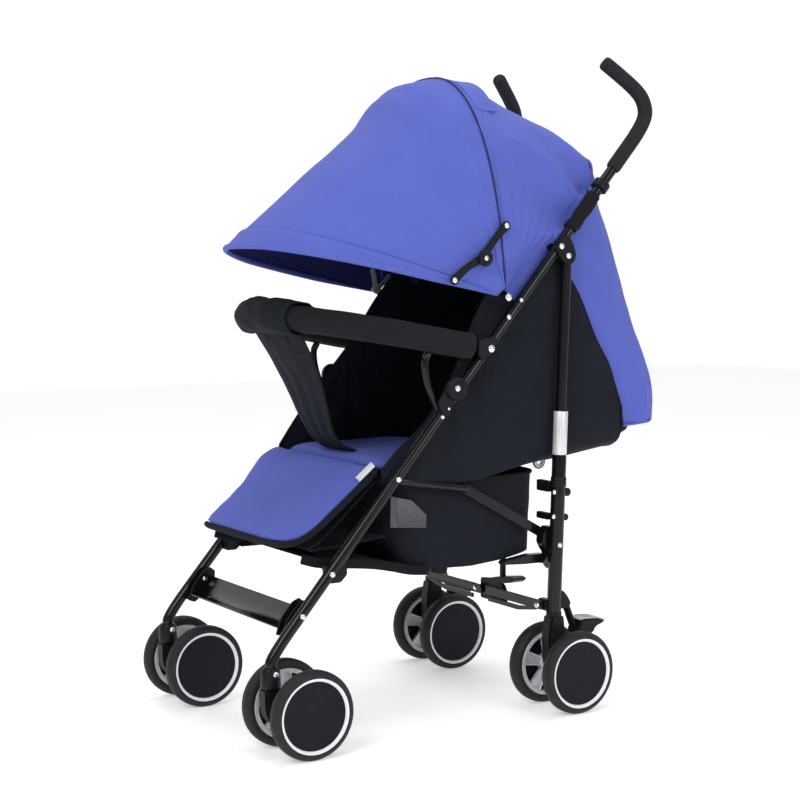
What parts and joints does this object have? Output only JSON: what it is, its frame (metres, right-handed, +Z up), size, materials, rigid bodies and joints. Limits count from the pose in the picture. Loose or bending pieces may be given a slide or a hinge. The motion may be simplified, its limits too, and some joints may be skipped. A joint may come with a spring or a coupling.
{
  "type": "baby stroller",
  "caption": "Umbrella-fold baby stroller with twin swivel front wheels, hood, reclining fabric seat, leg rest, bumper bar, basket and hooked handles.",
  "frame": {"origin": "on the floor, under the middle of the object's box", "axes": "+Z up, -Y the way the child faces, +X the stroller's own left side"},
  "size_m": [0.489, 0.8094, 1.0952],
  "materials": {
    "black_tube": "gloss black paint",
    "black_plastic": "satin moulded",
    "foam": "matt foam",
    "tyre": "matt",
    "rim": "silver grey moulded",
    "blue_fabric": "woven polyester",
    "black_fabric": "woven polyester",
    "footrest_gloss": "gloss"
  },
  "bodies": {
    "seat_unit": {"seat_sling": "black_fabric", "seat_pad": "blue_fabric", "basket": "black_fabric", "canopy_rear": "blue_fabric", "rear_curtain": "blue_fabric", "footrest_plate": "footrest_gloss", "crotch_strap": "black_fabric"},
    "backrest": {"backrest": "black_fabric"},
    "leg_rest": {"leg_rest": "blue_fabric"},
    "canopy_front": {"canopy_front": "blue_fabric"},
    "side_L": {"front_tube_L": "black_tube", "grip_L": "foam", "knuckle_L": "black_plastic", "swivel_socket_L": "black_plastic", "bumper_mount_L": "black_plastic", "footrest_bracket_L": "black_plastic"},
    "rear_leg_L": {"rear_leg_L": "black_tube", "rear_fork_L": "black_plastic"},
    "front_fork_L": {"front_fork_L": "black_plastic"},
    "seat_tube_L": {"seat_tube_L": "black_tube"},
    "side_link_L": {"side_link_L": "black_tube"},
    "rear_brace_L": {"rear_brace_L": "black_tube"},
    "front_brace_L": {"front_brace_L": "black_tube"},
    "brake_pedal_L": {"brake_pedal_L": "black_plastic"},
    "bumper_arm_L": {"bumper_arm_L": "black_fabric"},
    "canopy_stay_upper_L": {"canopy_stay_upper_L": "black_plastic"},
    "canopy_stay_lower_L": {"canopy_stay_lower_L": "black_plastic"},
    "wheel_rear_out_L": {"tyre_rear_out_L": "tyre", "rim_rear_out_L": "rim"},
    "wheel_rear_in_L": {"tyre_rear_in_L": "tyre", "rim_rear_in_L": "rim"},
    "wheel_front_out_L": {"tyre_front_out_L": "tyre", "rim_front_out_L": "rim"},
    "wheel_front_in_L": {"tyre_front_in_L": "tyre", "rim_front_in_L": "rim"},
    "side_R": {"front_tube_R": "black_tube", "grip_R": "foam", "knuckle_R": "black_plastic", "swivel_socket_R": "black_plastic", "bumper_mount_R": "black_plastic", "footrest_bracket_R": "black_plastic"},
    "rear_leg_R": {"rear_leg_R": "black_tube", "rear_fork_R": "black_plastic"},
    "front_fork_R": {"front_fork_R": "black_plastic"},
    "seat_tube_R": {"seat_tube_R": "black_tube"},
    "side_link_R": {"side_link_R": "black_tube"},
    "rear_brace_R": {"rear_brace_R": "black_tube"},
    "front_brace_R": {"front_brace_R": "black_tube"},
    "brake_pedal_R": {"brake_pedal_R": "black_plastic"},
    "bumper_arm_R": {"bumper_arm_R": "black_fabric"},
    "canopy_stay_upper_R": {"canopy_stay_upper_R": "black_plastic"},
    "canopy_stay_lower_R": {"canopy_stay_lower_R": "black_plastic"},
    "wheel_rear_out_R": {"tyre_rear_out_R": "tyre", "rim_rear_out_R": "rim"},
    "wheel_rear_in_R": {"tyre_rear_in_R": "tyre", "rim_rear_in_R": "rim"},
    "wheel_front_out_R": {"tyre_front_out_R": "tyre", "rim_front_out_R": "rim"},
    "wheel_front_in_R": {"tyre_front_in_R": "tyre", "rim_front_in_R": "rim"}
  },
  "joints": [
    {"name": "fold_L", "type": "slide", "parent": "seat_unit", "child": "side_L", "axis": [-1, 0, 0], "range_m": [0, 0.1], "deforming": ["seat_sling", "seat_pad", "basket", "canopy_rear", "rear_curtain", "footrest_plate", "crotch_strap", "backrest", "leg_rest", "canopy_front"]},
    {"name": "rear_leg_fold_L", "type": "hinge", "parent": "side_L", "child": "rear_leg_L", "pos_m": [0.186, 0.175, 0.758], "axis": [-1, 0, 0], "range_deg": [0, 30.3]},
    {"name": "seat_tube_fold_L", "type": "hinge", "parent": "side_L", "child": "seat_tube_L", "pos_m": [0.168, -0.158, 0.407], "axis": [1, 0, 0], "range_deg": [0, 82.15]},
    {"name": "side_link_fold_L", "type": "hinge", "parent": "rear_leg_L", "child": "side_link_L", "pos_m": [0.1585, 0.147, 0.295], "axis": [-1, 0, 0], "range_deg": [0, 21.59]},
    {"name": "rear_brace_fold_L", "type": "hinge", "parent": "rear_leg_L", "child": "rear_brace_L", "pos_m": [0.171, 0.1375, 0.175], "axis": [0, 1, 0], "range_deg": [0, 65.97]},
    {"name": "front_brace_fold_L", "type": "hinge", "parent": "side_L", "child": "front_brace_L", "pos_m": [0.171, -0.257, 0.267], "axis": [0, 1, 0], "range_deg": [0, 65.97]},
    {"name": "bumper_fold_L", "type": "hinge", "parent": "side_L", "child": "bumper_arm_L", "pos_m": [0.186, -0.005, 0.613], "axis": [0, 0.175, 0.9846], "range_deg": [0, 19.8]},
    {"name": "swivel_L", "type": "hinge", "parent": "side_L", "child": "front_fork_L", "pos_m": [0.186, -0.382, 0.108], "axis": [0, 0, 1], "continuous": true},
    {"name": "wheel_front_out_L_spin", "type": "hinge", "parent": "front_fork_L", "child": "wheel_front_out_L", "pos_m": [0.232, -0.336, 0.06841], "axis": [1, 0, 0], "continuous": true},
    {"name": "wheel_rear_out_L_spin", "type": "hinge", "parent": "rear_leg_L", "child": "wheel_rear_out_L", "pos_m": [0.232, 0.17, 0.06841], "axis": [1, 0, 0], "continuous": true},
    {"name": "wheel_front_in_L_spin", "type": "hinge", "parent": "front_fork_L", "child": "wheel_front_in_L", "pos_m": [0.14, -0.336, 0.06841], "axis": [1, 0, 0], "continuous": true},
    {"name": "wheel_rear_in_L_spin", "type": "hinge", "parent": "rear_leg_L", "child": "wheel_rear_in_L", "pos_m": [0.14, 0.17, 0.06841], "axis": [1, 0, 0], "continuous": true},
    {"name": "brake_L", "type": "hinge", "parent": "rear_leg_L", "child": "brake_pedal_L", "pos_m": [0.186, 0.191, 0.116], "axis": [-1, 0, 0], "range_deg": [0, 12]},
    {"name": "canopy_stay_upper_fold_L", "type": "hinge", "parent": "side_L", "child": "canopy_stay_upper_L", "pos_m": [0.195, 0.046, 0.807], "axis": [1, 0, 0], "range_deg": [0, 28.3]},
    {"name": "canopy_stay_lower_fold_L", "type": "hinge", "parent": "canopy_stay_upper_L", "child": "canopy_stay_lower_L", "pos_m": [0.1987, 0, 0.755], "axis": [-1, 0, 0], "range_deg": [0, 83.6]},
    {"name": "fold_R", "type": "slide", "parent": "seat_unit", "child": "side_R", "axis": [1, 0, 0], "range_m": [0, 0.1]},
    {"name": "rear_leg_fold_R", "type": "hinge", "parent": "side_R", "child": "rear_leg_R", "pos_m": [-0.186, 0.175, 0.758], "axis": [-1, 0, 0], "range_deg": [0, 30.3]},
    {"name": "seat_tube_fold_R", "type": "hinge", "parent": "side_R", "child": "seat_tube_R", "pos_m": [-0.168, -0.158, 0.407], "axis": [1, 0, 0], "range_deg": [0, 82.15]},
    {"name": "side_link_fold_R", "type": "hinge", "parent": "rear_leg_R", "child": "side_link_R", "pos_m": [-0.1585, 0.147, 0.295], "axis": [-1, 0, 0], "range_deg": [0, 21.59]},
    {"name": "rear_brace_fold_R", "type": "hinge", "parent": "rear_leg_R", "child": "rear_brace_R", "pos_m": [-0.171, 0.1325, 0.175], "axis": [0, -1, 0], "range_deg": [0, 65.97]},
    {"name": "front_brace_fold_R", "type": "hinge", "parent": "side_R", "child": "front_brace_R", "pos_m": [-0.171, -0.252, 0.267], "axis": [0, -1, 0], "range_deg": [0, 65.97]},
    {"name": "bumper_fold_R", "type": "hinge", "parent": "side_R", "child": "bumper_arm_R", "pos_m": [-0.186, -0.005, 0.613], "axis": [0, -0.175, -0.9846], "range_deg": [0, 19.8]},
    {"name": "swivel_R", "type": "hinge", "parent": "side_R", "child": "front_fork_R", "pos_m": [-0.186, -0.382, 0.108], "axis": [0, 0, 1], "continuous": true},
    {"name": "wheel_front_out_R_spin", "type": "hinge", "parent": "front_fork_R", "child": "wheel_front_out_R", "pos_m": [-0.232, -0.336, 0.06841], "axis": [1, 0, 0], "continuous": true},
    {"name": "wheel_rear_out_R_spin", "type": "hinge", "parent": "rear_leg_R", "child": "wheel_rear_out_R", "pos_m": [-0.232, 0.17, 0.06841], "axis": [1, 0, 0], "continuous": true},
    {"name": "wheel_front_in_R_spin", "type": "hinge", "parent": "front_fork_R", "child": "wheel_front_in_R", "pos_m": [-0.14, -0.336, 0.06841], "axis": [1, 0, 0], "continuous": true},
    {"name": "wheel_rear_in_R_spin", "type": "hinge", "parent": "rear_leg_R", "child": "wheel_rear_in_R", "pos_m": [-0.14, 0.17, 0.06841], "axis": [1, 0, 0], "continuous": true},
    {"name": "brake_R", "type": "hinge", "parent": "rear_leg_R", "child": "brake_pedal_R", "pos_m": [-0.186, 0.191, 0.116], "axis": [-1, 0, 0], "range_deg": [0, 12]},
    {"name": "canopy_stay_upper_fold_R", "type": "hinge", "parent": "side_R", "child": "canopy_stay_upper_R", "pos_m": [-0.195, 0.046, 0.807], "axis": [1, 0, 0], "range_deg": [0, 28.3]},
    {"name": "canopy_stay_lower_fold_R", "type": "hinge", "parent": "canopy_stay_upper_R", "child": "canopy_stay_lower_R", "pos_m": [-0.1987, 0, 0.755], "axis": [-1, 0, 0], "range_deg": [0, 83.6]},
    {"name": "canopy_tilt", "type": "hinge", "parent": "seat_unit", "child": "canopy_front", "pos_m": [0, 0.048, 0.692], "axis": [-1, 0, 0], "range_deg": [0, 28]},
    {"name": "recline", "type": "hinge", "parent": "seat_unit", "child": "backrest", "pos_m": [0, 0.072, 0.432], "axis": [1, 0, 0], "range_deg": [0, 55]},
    {"name": "leg_rest_tilt", "type": "hinge", "parent": "seat_unit", "child": "leg_rest", "pos_m": [0, -0.179, 0.424], "axis": [-1, 0, 0], "range_deg": [0, 38]}
  ],
  "couplings": [
    {"joint": "rear_leg_fold_L", "follows": "fold_L", "rad_per_m": 5.236},
    {"joint": "seat_tube_fold_L", "follows": "fold_L", "rad_per_m": 14.233},
    {"joint": "side_link_fold_L", "follows": "fold_L", "rad_per_m": 3.7158},
    {"joint": "rear_brace_fold_L", "follows": "fold_L", "rad_per_m": 11.426},
    {"joint": "front_brace_fold_L", "follows": "fold_L", "rad_per_m": 11.426},
    {"joint": "bumper_fold_L", "follows": "fold_L", "rad_per_m": 3.4034},
    {"joint": "canopy_stay_upper_fold_L", "follows": "canopy_tilt", "ratio": 1},
    {"joint": "canopy_stay_lower_fold_L", "follows": "canopy_tilt", "ratio": 2.9643},
    {"joint": "fold_R", "follows": "fold_L", "ratio": 1},
    {"joint": "rear_leg_fold_R", "follows": "fold_L", "rad_per_m": 5.236},
    {"joint": "seat_tube_fold_R", "follows": "fold_L", "rad_per_m": 14.233},
    {"joint": "side_link_fold_R", "follows": "fold_L", "rad_per_m": 3.7158},
    {"joint": "rear_brace_fold_R", "follows": "fold_L", "rad_per_m": 11.426},
    {"joint": "front_brace_fold_R", "follows": "fold_L", "rad_per_m": 11.426},
    {"joint": "bumper_fold_R", "follows": "fold_L", "rad_per_m": 3.4034},
    {"joint": "canopy_stay_upper_fold_R", "follows": "canopy_tilt", "ratio": 1},
    {"joint": "canopy_stay_lower_fold_R", "follows": "canopy_tilt", "ratio": 2.9643}
  ]
}
